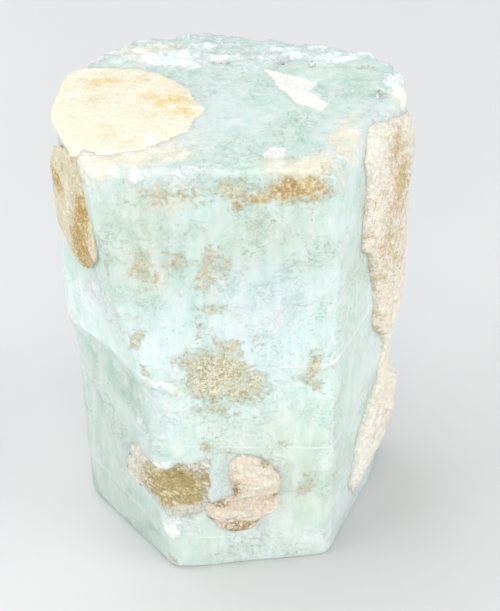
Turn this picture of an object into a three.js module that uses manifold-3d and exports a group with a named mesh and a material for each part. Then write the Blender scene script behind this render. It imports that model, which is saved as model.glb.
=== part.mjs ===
// A stubby aquamarine (beryl) prism with bits of its feldspar matrix still attached.
// Millimetres. X runs left to right, Y front to back, Z up along the crystal's own axis.
import * as THREE from 'three';
import { mergeVertices } from 'three/addons/utils/BufferGeometryUtils.js';
import Module from 'manifold-3d';

const wasm = await Module();
wasm.setup();

// ---------------------------------------------------------------- driving dimensions

const HEIGHT = 36;
const SEAT = 0.3;            // clear gap left between two pieces that touch
const TOP_WEAR = 0.6;        // how far the worn rim round the top face is set in
const BASE_WEAR = 0.45;      // the same round the base

// Slopes that wear and chipping have left at the rim of the top face: a point where each starts,
// the direction it falls towards in degrees from +X, and its fall for each millimetre it runs.
const RIM_SLOPES = [
  { start: [0, 4.4], towards: 85, fall: 0.145 },      // broad chipped slope along the back
  { start: [8.7, -4.1], towards: -29, fall: 1.15 },   // worn shoulder over the front right face
];
const SLOPE_BLOCK = [30, 60, 30];   // the block that cuts a slope: long, wide and high enough to clear the rim

// Corners of the prism, anticlockwise seen from above, starting at the front left edge.
const TOP_CORNERS = [
  [-8.95, -9.5],   // front left
  [6.95, -9.3],    // front right
  [11.95, -0.2],   // right
  [11.95, 3.6],    // right, behind the narrow extra face
  [10.0, 6.4],     // back right
  [-1.9, 11.2],    // back
  [-7.1, 9.2],     // back left
  [-11.5, 3.2],    // left, behind the narrow extra face
  [-11.95, -2.2],  // left
];
const BASE_CORNERS = [
  [-4.6, -11.3], [7.35, -9.8], [11.9, -0.2], [11.9, 3.6], [9.8, 6.4],
  [-2.0, 11.0], [-7.0, 9.0], [-11.55, 3.0], [-12.15, -2.8],
];

// The front left edge does not run straight: X where it passes each height.
const FRONT_LEFT_EDGE = [[0, -4.6], [6, -5.2], [13, -5.7], [19, -6.0], [24, -7.3], [29, -8.3], [36, -8.95]];

// Feldspar cap, set into the top left corner: its outline on the top face, anticlockwise from the left.
const CAP_OUTLINE = [
  [-9.1, -7.4], [-7.3, -8.1], [-4.6, -6.5], [-2.6, -4.8], [-1.5, -2.1], [-3.1, 1.5],
  [-5.8, 3.7], [-9.2, 4.2], [-12.6, 2.4], [-13.0, -2.6], [-10.6, -5.1],
];
const CAP_MIDDLE = [-7.0, -2.0];
const CAP_CROWN = 0.35;      // how proud of the top face its middle stands
// From its floor up: height above the top face, and scale of its outline there.
const CAP_LAYERS = [[-3.6, 0.5], [-2.16, 0.82], [-0.5, 1], [0, 0.97], [CAP_CROWN, 0.7]];
// The cap is trimmed by a sleeve round the prism's sides: height above the top face, and inset.
const CAP_SLEEVE = [[-8, 0.05], [-1, 0.05], [2, 0.9]];

// Crust down the right edge. At each height: reach along the front right face, reach round the
// back of the edge, thickness.
const RIGHT_CRUST = [
  [1.2, 6.0, 2.0, 0.4], [3.0, 6.8, 3.6, 0.7], [5.2, 6.2, 4.6, 0.95], [7.3, 5.6, 5.0, 1.1],
  [9.2, 5.3, 4.8, 1.1], [10.8, 4.6, 4.4, 1.0], [12.5, 2.0, 3.4, 0.6], [14.5, 1.4, 3.0, 0.5],
  [16.2, 1.9, 3.0, 0.6], [17.8, 3.3, 3.2, 0.7], [21.0, 3.8, 3.6, 0.8], [23.6, 4.6, 4.4, 0.95],
  [26.0, 5.8, 5.0, 1.05], [27.4, 7.0, 5.2, 1.1], [30.0, 7.6, 5.2, 1.1], [32.4, 7.8, 4.6, 1.0],
  [34.3, 7.6, 2.4, 0.6],
];
const RIGHT_CORNER = 2;
const CRUST_EDGE = 0.12;     // thickness of a crust along its margins
const CRUST_ROUNDING = 2.4;  // how flat-topped a crust is across: 2 is elliptical, more is flatter

// Thin rusty crust on the left edge, in the same terms: reach back, reach forward, thickness.
const LEFT_CRUST = [
  [25.8, 0.3, 4.2, 0.3], [26.8, 0.6, 5.6, 0.5], [28.2, 1.0, 6.8, 0.6], [30.4, 1.4, 6.8, 0.7],
  [32.4, 1.2, 6.0, 0.6], [33.6, 0.8, 5.4, 0.35],
];
const LEFT_CORNER = 8;

// Knob on the front face: its outline in X and Z, anticlockwise from the right, bitten into on its left.
const KNOB_OUTLINE = [
  [3.9, 9.3], [3.0, 11.4], [1.4, 12.3], [0.2, 12.1], [0.1, 10.9], [0.5, 9.2], [0.5, 8.3], [-0.7, 7.6],
  [-2.0, 7.2], [-1.9, 6.2], [-1.1, 4.8], [0, 4.1], [1.5, 4.2], [2.5, 5.6], [3.8, 7.4],
];
const KNOB_MIDDLE = [1.5, 7.3];
const KNOB_FACE = -10.25;    // Y of the front face behind it
// From inside the crystal outwards: distance out from the front face, and scale of its outline there.
const KNOB_LAYERS = [[-1.3, 0.5], [-0.7, 0.85], [-0.1, 1], [0.45, 0.93], [0.85, 0.7], [1.05, 0.4]];

// Etched pit on the front left edge: centre, half sizes and how rough its outline is.
const PIT = { centre: [-4.9, -11.2, 7.5], half: [2.9, 2.5, 3.7], rough: 0.06 };
const PIT_DETAIL = 7;        // subdivision of its faces
// Waves that make the pit's outline uneven: how fast each runs along X, Y and Z, its phase and strength.
const PIT_WAVES = [
  { run: [3, 0, 2], phase: 2.1, strength: 1 },
  { run: [0, -3, 4], phase: 4.2, strength: 1 },
  { run: [7, 0, -5], phase: 6.3, strength: 0.6 },
];
const FILLING_DROP = 0.7;    // how far the filling lies below the mouth of the pit
const FILLING_LEVELS = [0.5, 13, 19];   // heights of the sleeve that keeps the filling inside the prism

// ---------------------------------------------------------------- finishes

const BERYL = new THREE.MeshStandardMaterial({ color: 0xb9dedb, roughness: 0.28, metalness: 0 });
const FELDSPAR = new THREE.MeshStandardMaterial({ color: 0xf3e7c9, roughness: 0.75, metalness: 0 });
const PALE_FELDSPAR = new THREE.MeshStandardMaterial({ color: 0xeadfce, roughness: 0.8, metalness: 0 });
const PINK_FELDSPAR = new THREE.MeshStandardMaterial({ color: 0xe6cdb8, roughness: 0.8, metalness: 0 });
const RUST = new THREE.MeshStandardMaterial({ color: 0xc89a5c, roughness: 0.85, metalness: 0 });
const EARTH = new THREE.MeshStandardMaterial({ color: 0x94804f, roughness: 0.9, metalness: 0 });

// ---------------------------------------------------------------- geometry helpers

/** The value at x on a broken line through [x, value] pairs in rising order. */
function alongLine(pairs, x) {
  const last = pairs.length - 1;
  if (x <= pairs[0][0]) return pairs[0][1];
  if (x >= pairs[last][0]) return pairs[last][1];
  const next = pairs.findIndex((pair) => pair[0] > x);
  const [x0, v0] = pairs[next - 1];
  const [x1, v1] = pairs[next];
  return THREE.MathUtils.lerp(v0, v1, (x - x0) / (x1 - x0));
}

/** Moves every side of an anticlockwise outline out by a distance and rejoins the corners. */
function pushSides(corners, distance) {
  const sides = corners.map(([x, y], index) => {
    const [nextX, nextY] = corners[(index + 1) % corners.length];
    const along = new THREE.Vector2(nextX - x, nextY - y).normalize();
    const out = new THREE.Vector2(along.y, -along.x);
    return { along, start: new THREE.Vector2(x, y).addScaledVector(out, distance) };
  });
  return sides.map((side, index) => {
    const before = sides[(index + sides.length - 1) % sides.length];
    const gap = side.start.clone().sub(before.start);
    const reach = gap.cross(side.along) / before.along.cross(side.along);
    const corner = before.start.clone().addScaledVector(before.along, reach);
    return [corner.x, corner.y];
  });
}

/** Joins rings of [x, y, z] points, bottom ring first and anticlockwise, into one closed skin. */
function skin(rings) {
  const count = rings[0].length;
  const positions = rings.flat(2);
  const faces = [];
  for (let level = 0; level < rings.length - 1; level++) {
    for (let index = 0; index < count; index++) {
      const next = (index + 1) % count;
      const low = level * count;
      const high = low + count;
      faces.push(low + index, low + next, high + next, low + index, high + next, high + index);
    }
  }
  for (const ring of [0, rings.length - 1]) {
    const flat = rings[ring].map(([x, y]) => new THREE.Vector2(x, y));
    for (const [a, b, c] of THREE.ShapeUtils.triangulateShape(flat, [])) {
      const start = ring * count;
      faces.push(...(ring ? [start + a, start + b, start + c] : [start + a, start + c, start + b]));
    }
  }
  const geometry = new THREE.BufferGeometry();
  geometry.setAttribute('position', new THREE.Float32BufferAttribute(positions, 3));
  geometry.setIndex(faces);
  return geometry;
}

/** A closed geometry as a solid that can be joined and cut. */
function toSolid(geometry) {
  const bare = geometry.clone();
  bare.deleteAttribute('normal');
  bare.deleteAttribute('uv');
  const merged = mergeVertices(bare, 1e-4);
  return new wasm.Manifold(new wasm.Mesh({
    numProp: 3,
    vertProperties: new Float32Array(merged.attributes.position.array),
    triVerts: new Uint32Array(merged.index.array),
  }));
}

/** A named piece made of a solid's own triangles. */
function piece(name, solid, material) {
  const { vertProperties, triVerts } = solid.getMesh();
  const geometry = new THREE.BufferGeometry();
  geometry.setAttribute('position', new THREE.BufferAttribute(vertProperties, 3));
  geometry.setIndex(new THREE.BufferAttribute(triVerts, 1));
  geometry.computeVertexNormals();
  const mesh = new THREE.Mesh(geometry, material);
  mesh.name = name;
  return mesh;
}

// ---------------------------------------------------------------- the prism

/** The prism's corners at height z, before any rim is worn away. */
function cornersAt(z) {
  return TOP_CORNERS.map((top, index) => {
    const base = BASE_CORNERS[index];
    const y = THREE.MathUtils.lerp(base[1], top[1], z / HEIGHT);
    if (index === 0) return [alongLine(FRONT_LEFT_EDGE, z), y];
    return [THREE.MathUtils.lerp(base[0], top[0], z / HEIGHT), y];
  });
}

/** One level of the prism, its sides pushed out by `grow`. */
function ringAt(z, grow = 0) {
  return pushSides(cornersAt(z), grow).map(([x, y]) => [x, y, z]);
}

/** The block that, taken away, leaves one slope at the rim of the top face. */
function slopeBlock({ start, towards, fall }) {
  const [length, width, height] = SLOPE_BLOCK;
  const block = new THREE.BoxGeometry(length, width, height);
  block.translate(length / 2, 0, height / 2);
  block.rotateY(Math.atan(fall));
  block.rotateZ(THREE.MathUtils.degToRad(towards));
  block.translate(...start, HEIGHT);
  return block;
}

/** The whole prism with its worn rims and the slopes at the edge of its top face. */
function prism() {
  const bends = FRONT_LEFT_EDGE.map(([z]) => z).slice(1, -1);
  const whole = skin([
    ringAt(0, -BASE_WEAR),
    ringAt(BASE_WEAR),
    ...bends.map((z) => ringAt(z)),
    ringAt(HEIGHT - TOP_WEAR),
    ringAt(HEIGHT, -TOP_WEAR),
  ]);
  return RIM_SLOPES.reduce((solid, slope) => solid.subtract(toSolid(slopeBlock(slope))), toSolid(whole));
}

// ---------------------------------------------------------------- the matrix

/** An outline as a smooth closed curve, scaled about its middle, at height z. */
function outlineRing(outline, middle, scale, z, points = 36) {
  const centre = new THREE.Vector3(...middle, 0);
  const corners = outline.map(([x, y]) => new THREE.Vector3(x, y, 0));
  const curve = new THREE.CatmullRomCurve3(corners, true, 'centripetal');
  return curve.getPoints(points).slice(0, -1).map((point) => {
    const moved = point.sub(centre).multiplyScalar(scale).add(centre);
    return [moved.x, moved.y, z];
  });
}

/** A body made of layers of one outline, each [level, scale], grown all round by `grow`. */
function layered(outline, middle, layers, grow) {
  const grown = pushSides(outline, grow);
  return skin(layers.map(([level, scale]) => {
    const shift = level < 0 ? -grow : grow;
    return outlineRing(grown, middle, scale, level + shift);
  }));
}

/** The lens-shaped space that the cap fills, grown all round by `grow`. */
function capSpace(grow) {
  return layered(CAP_OUTLINE, CAP_MIDDLE, CAP_LAYERS, grow).translate(0, 0, HEIGHT);
}

/** The cap: that space, trimmed to the sides of the prism. */
function cap() {
  const sleeve = skin(CAP_SLEEVE.map(([above, inset]) => ringAt(HEIGHT + above, -inset)));
  return toSolid(capSpace(0)).intersect(toSolid(sleeve));
}

/** The knob, laid out flat and then stood up against the front face; grown all round by `grow`. */
function knob(grow = 0) {
  const flat = layered(KNOB_OUTLINE, KNOB_MIDDLE, KNOB_LAYERS, grow);
  return flat.rotateX(Math.PI / 2).translate(0, KNOB_FACE, 0);
}

/** The point `reach` along the prism's outline from a corner, pushed `out` from its sides. */
function nearCorner(z, corner, reach, out) {
  const ring = ringAt(z, out).map(([x, y]) => new THREE.Vector2(x, y));
  const step = reach < 0 ? -1 : 1;
  let here = corner;
  let left = Math.abs(reach);
  for (;;) {
    const next = (here + step + ring.length) % ring.length;
    const length = ring[here].distanceTo(ring[next]);
    if (left <= length) {
      const point = ring[here].clone().lerp(ring[next], left / length);
      return [point.x, point.y, z];
    }
    left -= length;
    here = next;
  }
}

/** A crust that wraps one edge of the prism: rows of [height, reach before, reach after, thickness]. */
function crust(rows, corner, steps = 5) {
  const shares = Array.from({ length: steps + 1 }, (_, index) => index / steps);
  return skin(rows.map(([z, before, after, thickness]) => {
    const ahead = shares.map((share) => -before * (1 - share));
    const reaches = [...ahead, ...shares.slice(1).map((share) => after * share)];
    const swell = (reach) => {
      const share = Math.min(1, Math.abs(reach / (reach < 0 ? before : after)));
      return SEAT + CRUST_EDGE + (thickness - CRUST_EDGE) * Math.sqrt(1 - share ** CRUST_ROUNDING);
    };
    const outer = reaches.map((reach) => nearCorner(z, corner, reach, swell(reach)));
    const inner = reaches.map((reach) => nearCorner(z, corner, reach, SEAT)).reverse();
    return [...outer, ...inner];
  }));
}

/** The pit's lumpy body: an ellipsoid whose radius swells and dips in a few low waves. */
function pit(grow = 0) {
  const { centre, half, rough } = PIT;
  const ball = new THREE.IcosahedronGeometry(1, PIT_DETAIL).deleteAttribute('normal').deleteAttribute('uv');
  const geometry = mergeVertices(ball, 1e-4);
  const position = geometry.attributes.position;
  const point = new THREE.Vector3();
  for (let index = 0; index < position.count; index++) {
    point.fromBufferAttribute(position, index);
    const waves = PIT_WAVES.map(({ run: [x, y, z], phase, strength }) => (
      strength * Math.sin(x * point.x + y * point.y + z * point.z + phase)
    ));
    const swell = 1 + rough * waves.reduce((sum, wave) => sum + wave);
    position.setXYZ(
      index,
      centre[0] + point.x * (half[0] * swell + grow),
      centre[1] + point.y * (half[1] * swell + grow),
      centre[2] + point.z * (half[2] * swell + grow),
    );
  }
  return geometry;
}

/** The pit's filling: the lower part of the pit, kept inside the prism by the drop. */
function filling() {
  const inside = skin(FILLING_LEVELS.map((z) => ringAt(z, -FILLING_DROP)));
  return toSolid(pit(-SEAT)).intersect(toSolid(inside));
}

// ---------------------------------------------------------------- the specimen

const crystal = prism()
  .subtract(toSolid(capSpace(SEAT)))
  .subtract(toSolid(knob(SEAT)))
  .subtract(toSolid(pit()));

const specimen = new THREE.Group();
specimen.add(
  piece('aquamarine_crystal', crystal, BERYL),
  piece('feldspar_cap', cap(), FELDSPAR),
  piece('feldspar_crust_right', toSolid(crust(RIGHT_CRUST, RIGHT_CORNER)), PALE_FELDSPAR),
  piece('rusty_crust_left', toSolid(crust(LEFT_CRUST, LEFT_CORNER)), RUST),
  piece('feldspar_knob', toSolid(knob()), PINK_FELDSPAR),
  piece('pit_filling', filling(), EARTH),
);

// The origin is the middle of the footprint, on the surface that the specimen stands on.
const extent = new THREE.Box3().setFromObject(specimen);
const middle = extent.getCenter(new THREE.Vector3());
specimen.position.set(-middle.x, -middle.y, -extent.min.z);

export default specimen;
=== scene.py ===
import math

import bpy
import numpy as np
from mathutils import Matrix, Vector


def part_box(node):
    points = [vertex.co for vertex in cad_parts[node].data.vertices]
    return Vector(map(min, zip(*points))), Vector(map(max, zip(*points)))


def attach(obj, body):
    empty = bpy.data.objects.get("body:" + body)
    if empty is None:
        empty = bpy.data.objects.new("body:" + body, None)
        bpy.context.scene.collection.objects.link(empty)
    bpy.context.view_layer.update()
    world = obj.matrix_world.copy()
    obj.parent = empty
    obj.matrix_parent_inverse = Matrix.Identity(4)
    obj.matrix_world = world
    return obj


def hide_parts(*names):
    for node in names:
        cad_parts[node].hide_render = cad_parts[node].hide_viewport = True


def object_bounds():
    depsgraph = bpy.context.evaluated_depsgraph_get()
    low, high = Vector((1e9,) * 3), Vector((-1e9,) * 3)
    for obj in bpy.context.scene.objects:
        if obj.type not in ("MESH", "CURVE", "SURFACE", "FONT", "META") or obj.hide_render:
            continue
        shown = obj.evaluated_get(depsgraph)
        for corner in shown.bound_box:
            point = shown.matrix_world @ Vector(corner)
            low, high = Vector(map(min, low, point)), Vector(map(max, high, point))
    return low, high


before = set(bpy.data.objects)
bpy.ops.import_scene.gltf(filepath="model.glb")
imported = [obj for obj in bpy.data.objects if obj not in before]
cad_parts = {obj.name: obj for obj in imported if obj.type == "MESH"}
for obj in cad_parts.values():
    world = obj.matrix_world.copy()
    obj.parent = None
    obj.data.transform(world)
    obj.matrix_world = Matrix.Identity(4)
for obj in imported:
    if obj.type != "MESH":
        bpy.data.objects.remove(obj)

CAD_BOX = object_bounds()
MM = 0.001

# ---------------------------------------------------------------- the stone's own frame

# All shapes are worked out in millimetres from the foot of the crystal's growth axis, which stands this
# far in from its right side and from its front.
FROM_RIGHT, FROM_FRONT = 11.95, 11.28
STONE_LOW, STONE_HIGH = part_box("aquamarine_crystal")
AXIS = np.array([STONE_HIGH.x - FROM_RIGHT * MM, STONE_LOW.y + FROM_FRONT * MM, STONE_LOW.z])
HEIGHT = (STONE_HIGH.z - STONE_LOW.z) / MM
# Where the outline of the top face is taken: below the rounding of its rim.
RIM_LEVEL = HEIGHT - 1.0

# Corners of the prism, anticlockwise seen from above, starting at the front left edge.
TOP_CORNERS = np.array([
    (-8.95, -9.5), (6.95, -9.3), (11.95, -0.2), (11.95, 3.6), (10.0, 6.4),
    (-1.9, 11.2), (-7.1, 9.2), (-11.5, 3.2), (-11.95, -2.2),
])
BASE_CORNERS = np.array([
    (-4.6, -11.3), (7.35, -9.8), (11.9, -0.2), (11.9, 3.6), (9.8, 6.4),
    (-2.0, 11.0), (-7.0, 9.0), (-11.55, 3.0), (-12.15, -2.8),
])
# Heights, and X of the front left edge at each: it leans inwards on its way down.
FRONT_LEFT_HEIGHTS = (0, 6, 13, 19, 24, 29, 36)
FRONT_LEFT_X = (-4.6, -5.2, -5.7, -6.0, -7.3, -8.3, -8.95)

# The chipped slope at the back of the top face, and the worn shoulder at its right: the direction each
# falls in, in degrees from +X, a point on the line where it starts, and its fall for each millimetre.
BACK_FACING, BACK_START, BACK_FALL = 85, (0, 4.4), 0.145
SHOULDER_FACING, SHOULDER_START, SHOULDER_FALL = -29, (8.7, -4.1), 1.15

# How far each rim is rounded: evenly, and more towards some directions, as (amount, degrees, spread).
BASE_WEAR, BASE_WEAR_EXTRAS = 0.4, ((0.3, 193, 20), (0.15, 240, 18))
RIM_WEAR, RIM_WEAR_EXTRAS = 0.5, ((0.85, 170, 28),)

# Healed cross fractures and a growth line near the base: height on the axis, then the rise for each
# millimetre to the right and to the back.
UPPER_FRACTURE = (19.85, 0.065, 0.02)
LOWER_FRACTURE = (12.9, -0.10, 0.03)
GROWTH_LINE = (3.1, -0.12, 0.0)


# ---------------------------------------------------------------- arithmetic

# Each field of noise is made from a seed given where it is used, so it comes out the same each time.

def smooth_step(low, high, value):
    """0 below low, 1 above high, and 3t^2 - 2t^3 between."""
    t = np.clip((value - low) / (high - low), 0, 1)
    return t * t * (3 - 2 * t)


def soft_ramp(value, softness):
    """Zero on the left, value on the right, joined softly: softness * log(1 + exp(value / softness))."""
    return softness * np.logaddexp(0, value / softness)


def gradient_noise(points, seed):
    """Noise of about -1 to 1: each corner of a point's unit cell has a random slope, and the eight
    slopes' heights at the point are blended by 6t^5 - 15t^4 + 10t^3 along each axis."""
    maker = np.random.default_rng(seed)
    order = maker.permutation(512)
    slopes = maker.normal(size=(512, 3))
    slopes /= np.linalg.norm(slopes, axis=1, keepdims=True)
    cell = np.floor(points).astype(np.int64)
    part = points - cell
    ease = part ** 3 * (part * (part * 6 - 15) + 10)
    total = np.zeros(points.shape[:-1])
    for corner in np.ndindex(2, 2, 2):
        x, y, z = (cell[..., axis] + corner[axis] for axis in range(3))
        slope = slopes[order[(order[(order[x % 512] + y) % 512] + z) % 512]]
        share = np.prod(np.where(corner, ease, 1 - ease), axis=-1)
        total += share * ((part - corner) * slope).sum(axis=-1)
    return total * 1.6


def layered_noise(points, size, layers, seed, roughness=0.5):
    """Gradient noise whose waves are `size` millimetres long, plus finer and weaker copies of it."""
    total = np.zeros(points.shape[:-1])
    strength, full = 1.0, 0.0
    for layer in range(layers):
        total += strength * gradient_noise(points / size * 2 ** layer, seed + layer)
        full += strength
        strength *= roughness
    return total / full


def ridges(points, size, layers, seed):
    """Sharp crests from 0 to 1: one minus the height of layered noise."""
    return 1 - np.abs(layered_noise(points, size, layers, seed)) * 2


def warped(points, amount, size, seed):
    """The points pushed about by three fields of noise, so that what reads them gets a ragged edge."""
    push = [layered_noise(points, size, 3, seed + 10 * axis) for axis in range(3)]
    return points + amount * np.stack(push, axis=-1)


def blob(points, centre, half_sizes):
    """1 at the centre, 0 on the ellipsoid with those half sizes, and lower outside."""
    return 1 - np.linalg.norm((points - np.array(centre)) / np.array(half_sizes), axis=-1)


def field_of(points, spots):
    """The highest of many blobs, each (centre, half sizes, strength)."""
    return np.max([strength * blob(points, centre, half) for centre, half, strength in spots], axis=0)


def normals_of(rows):
    """Unit normals of rows of points that close on themselves: step round crossed with step along."""
    around = np.roll(rows, -1, axis=1) - np.roll(rows, 1, axis=1)
    along = np.gradient(rows, axis=0)
    normal = np.cross(around, along)
    return normal / np.maximum(np.linalg.norm(normal, axis=-1, keepdims=True), 1e-9)


# ---------------------------------------------------------------- meshes

def closed_rows(name, rows, material, masks=None):
    """A closed mesh from rows of points in millimetres that each run round anticlockwise, the first
    row round the lower pole and the last round the upper: quads between the rows, a fan at each pole.
    Each mask, up to four numbers a point, becomes a colour attribute."""
    count, around = rows.shape[:2]
    poles = np.stack([rows[0].mean(axis=0), rows[-1].mean(axis=0)])
    points = np.concatenate([rows.reshape(-1, 3), poles])
    here = np.arange(count - 1)[:, None] * around + np.arange(around)
    beside = np.arange(count - 1)[:, None] * around + (np.arange(around) + 1) % around
    quads = np.stack([here, beside, beside + around, here + around], axis=-1).reshape(-1, 4)
    ring, after = np.arange(around), (np.arange(around) + 1) % around
    top = (count - 1) * around
    bottom_fan = np.stack([after, ring, np.full(around, count * around)], axis=-1)
    top_fan = np.stack([top + ring, top + after, np.full(around, count * around + 1)], axis=-1)
    faces = quads.tolist() + bottom_fan.tolist() + top_fan.tolist()
    piece = mesh_piece(name, points, faces, material)
    for mask_name, values in (masks or {}).items():
        ends = [values[0].mean(axis=0), values[-1].mean(axis=0)]
        flat = np.concatenate([values.reshape(-1, values.shape[-1]), ends])
        colours = np.concatenate([flat, np.ones((len(flat), 4 - flat.shape[-1]))], axis=1)
        layer = piece.data.color_attributes.new(mask_name, "FLOAT_COLOR", "POINT")
        layer.data.foreach_set("color", colours.astype(np.float32).ravel())
    return piece


def mesh_piece(name, points, faces, material):
    """A smooth-shaded object at the origin, from points given in the stone's own millimetres."""
    mesh = bpy.data.meshes.new(name)
    mesh.from_pydata((points * MM + AXIS).tolist(), [], faces)
    mesh.polygons.foreach_set("use_smooth", [True] * len(mesh.polygons))
    mesh.materials.append(material)
    mesh.update()
    piece = bpy.data.objects.new(name, mesh)
    bpy.context.collection.objects.link(piece)
    return piece


# ---------------------------------------------------------------- the prism's shape

def corners_at(height):
    """The prism's corners at each height: straight edges, but for the bent front left one."""
    share = np.asarray(height)[..., None, None] / HEIGHT
    corners = BASE_CORNERS + (TOP_CORNERS - BASE_CORNERS) * share
    steps = (-2.0, -1.0, 0.0, 1.0, 2.0)
    bends = [np.interp(height + step, FRONT_LEFT_HEIGHTS, FRONT_LEFT_X) for step in steps]
    corners[..., 0, 0] = np.mean(bends, axis=0)
    return corners


def prism_radius(angle, height, sharpness=44):
    """Distance from the axis to the prism's side. Alone, a side that lies `near` from the axis would
    be near / cos(angle - its facing) away; adding all the sides' closeness^sharpness rounds each edge
    a little."""
    corners = corners_at(height)
    along = np.roll(corners, -1, axis=-2) - corners
    out = np.stack([along[..., 1], -along[..., 0]], axis=-1)
    out /= np.linalg.norm(out, axis=-1, keepdims=True)
    near = (corners * out).sum(axis=-1)
    direction = np.stack([np.cos(angle), np.sin(angle)], axis=-1)[..., None, :]
    closeness = np.maximum((direction * out).sum(axis=-1), 1e-3) / near
    return (closeness ** sharpness).sum(axis=-1) ** (-1 / sharpness)


def beyond(x, y, facing, start):
    """How far each point lies past `start` in the direction `facing` degrees from +X."""
    turn = math.radians(facing)
    return (x - start[0]) * math.cos(turn) + (y - start[1]) * math.sin(turn)


def top_height(x, y):
    """The top face: level, less a broad chipped slope at the back and a worn shoulder over the front
    right face. Each slope is a soft ramp times its fall."""
    back = beyond(x, y, BACK_FACING, BACK_START)
    shoulder = beyond(x, y, SHOULDER_FACING, SHOULDER_START)
    return HEIGHT - BACK_FALL * soft_ramp(back, 0.15) - SHOULDER_FALL * soft_ramp(shoulder - 0.1, 0.25)


def wear(angle, even, extras):
    """How far a rim is rounded in each direction: an even amount, and a bell curve for each extra."""
    total = np.full(angle.shape, even)
    for amount, towards, spread in extras:
        total = total + amount * np.exp(-((angle - math.radians(towards)) / math.radians(spread)) ** 2)
    return total


def prism_rows(around=376, side_rows=172, top_rows=60):
    """The bare prism as rows of points: from the middle of its base out to the rim, round it by a
    quarter circle, up the sides, round the rim of the top by another, and in to its middle."""
    angle = np.linspace(0, 2 * math.pi, around, endpoint=False)
    facing = np.stack([np.cos(angle), np.sin(angle)], axis=-1)
    base_wear = wear(angle, BASE_WEAR, BASE_WEAR_EXTRAS)
    rim_wear = wear(angle, RIM_WEAR, RIM_WEAR_EXTRAS) + 0.15 * np.cos(angle * 3 + 1.0)

    def ring(radius, height):
        height = np.broadcast_to(height, angle.shape)
        return np.concatenate([facing * radius[:, None], height[:, None]], axis=-1)

    rows = []
    foot = prism_radius(angle, base_wear)
    for share in np.linspace(0.06, 1, 14):
        rows.append(ring((foot - base_wear) * share, 0.0))
    for turn in np.linspace(0, math.pi / 2, 6)[1:-1]:
        rows.append(ring(foot - base_wear * (1 - math.sin(turn)), base_wear * (1 - math.cos(turn))))

    edge = prism_radius(angle, np.full(around, RIM_LEVEL))
    rim = top_height(*(facing * edge[:, None]).T) - rim_wear
    for share in np.linspace(0, 1, side_rows):
        height = base_wear + (rim - base_wear) * share
        rows.append(ring(prism_radius(angle, height), height))
    edge = prism_radius(angle, rim)
    for turn in np.linspace(0, math.pi / 2, 8)[1:-1]:
        radius = edge - rim_wear * (1 - math.cos(turn))
        level = top_height(*(facing * radius[:, None]).T)
        rows.append(ring(radius, level - rim_wear * (1 - math.sin(turn))))
    for share in np.linspace(1, 0.012, top_rows):
        radius = (edge - rim_wear) * share
        rows.append(ring(radius, top_height(*(facing * radius[:, None]).T)))
    return np.stack(rows)


# ---------------------------------------------------------------- what lies on the prism

# What lies on the stone, each spot as its centre, half sizes and strength: rust, tan earth and frosting.
RUST_SPOTS = (
    ((4.1, -9.4, 34.6), (3.1, 1.8, 2.0), 1.15), ((2.2, -9.6, 34.2), (1.9, 1.4, 1.2), 0.85),
    ((5.6, -9.2, 34.8), (1.5, 1.6, 1.6), 0.9), ((0.6, -9.8, 33.4), (0.7, 1.0, 1.3), 0.9),
    ((-8.0, -9.4, 29.0), (0.5, 1.2, 1.5), 0.85), ((-3.6, -9.8, 29.4), (0.8, 0.9, 0.8), 0.6),
    ((-5.0, -11.1, 0.9), (1.1, 1.0, 0.9), 0.6),
)
TAN_SPOTS = (
    ((-1.0, -10.1, 19.4), (3.5, 1.8, 3.6), 1.15), ((1.2, -10.2, 18.3), (2.2, 1.6, 2.2), 0.95),
    ((-3.2, -10.1, 21.0), (1.6, 1.4, 1.1), 0.85), ((-0.4, -10.1, 22.2), (1.5, 1.4, 0.9), 0.8),
    ((-1.2, -10.1, 16.7), (2.4, 1.4, 1.3), 0.75), ((-1.4, -9.9, 28.5), (1.5, 1.4, 3.0), 0.7),
    ((-1.6, -10.0, 25.2), (1.4, 1.4, 1.3), 0.7), ((-2.6, -10.1, 23.8), (0.8, 1.2, 1.3), 0.75),
    ((5.6, -9.8, 20.3), (0.9, 1.4, 1.7), 0.78), ((5.6, -9.8, 18.5), (1.5, 1.4, 0.8), 0.78),
    ((-2.1, -10.6, 12.8), (1.2, 1.4, 0.8), 0.85), ((-0.6, -10.6, 12.3), (1.4, 1.4, 0.6), 0.8),
    ((-6.6, -10.2, 23.2), (0.7, 1.4, 1.8), 0.66), ((-5.9, -10.4, 20.7), (0.6, 1.4, 1.8), 0.6),
    ((-5.8, -10.0, 28.6), (1.2, 1.4, 1.9), 0.62), ((-3.4, -9.8, 34.0), (4.2, 1.4, 1.4), 0.6),
    ((0.4, -9.8, 35.0), (2.6, 1.4, 1.1), 0.75), ((5.3, -10.1, 8.4), (0.9, 1.2, 1.6), 0.6),
    ((-10.4, -5.6, 33.8), (1.3, 2.2, 1.4), 0.8), ((-3.6, -9.8, 29.4), (1.2, 1.2, 1.2), 0.62),
    ((3.6, -10.0, 12.6), (1.2, 1.2, 1.0), 0.5), ((-9.4, -7.4, 34.9), (1.2, 1.6, 1.2), 0.7),
)
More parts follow.
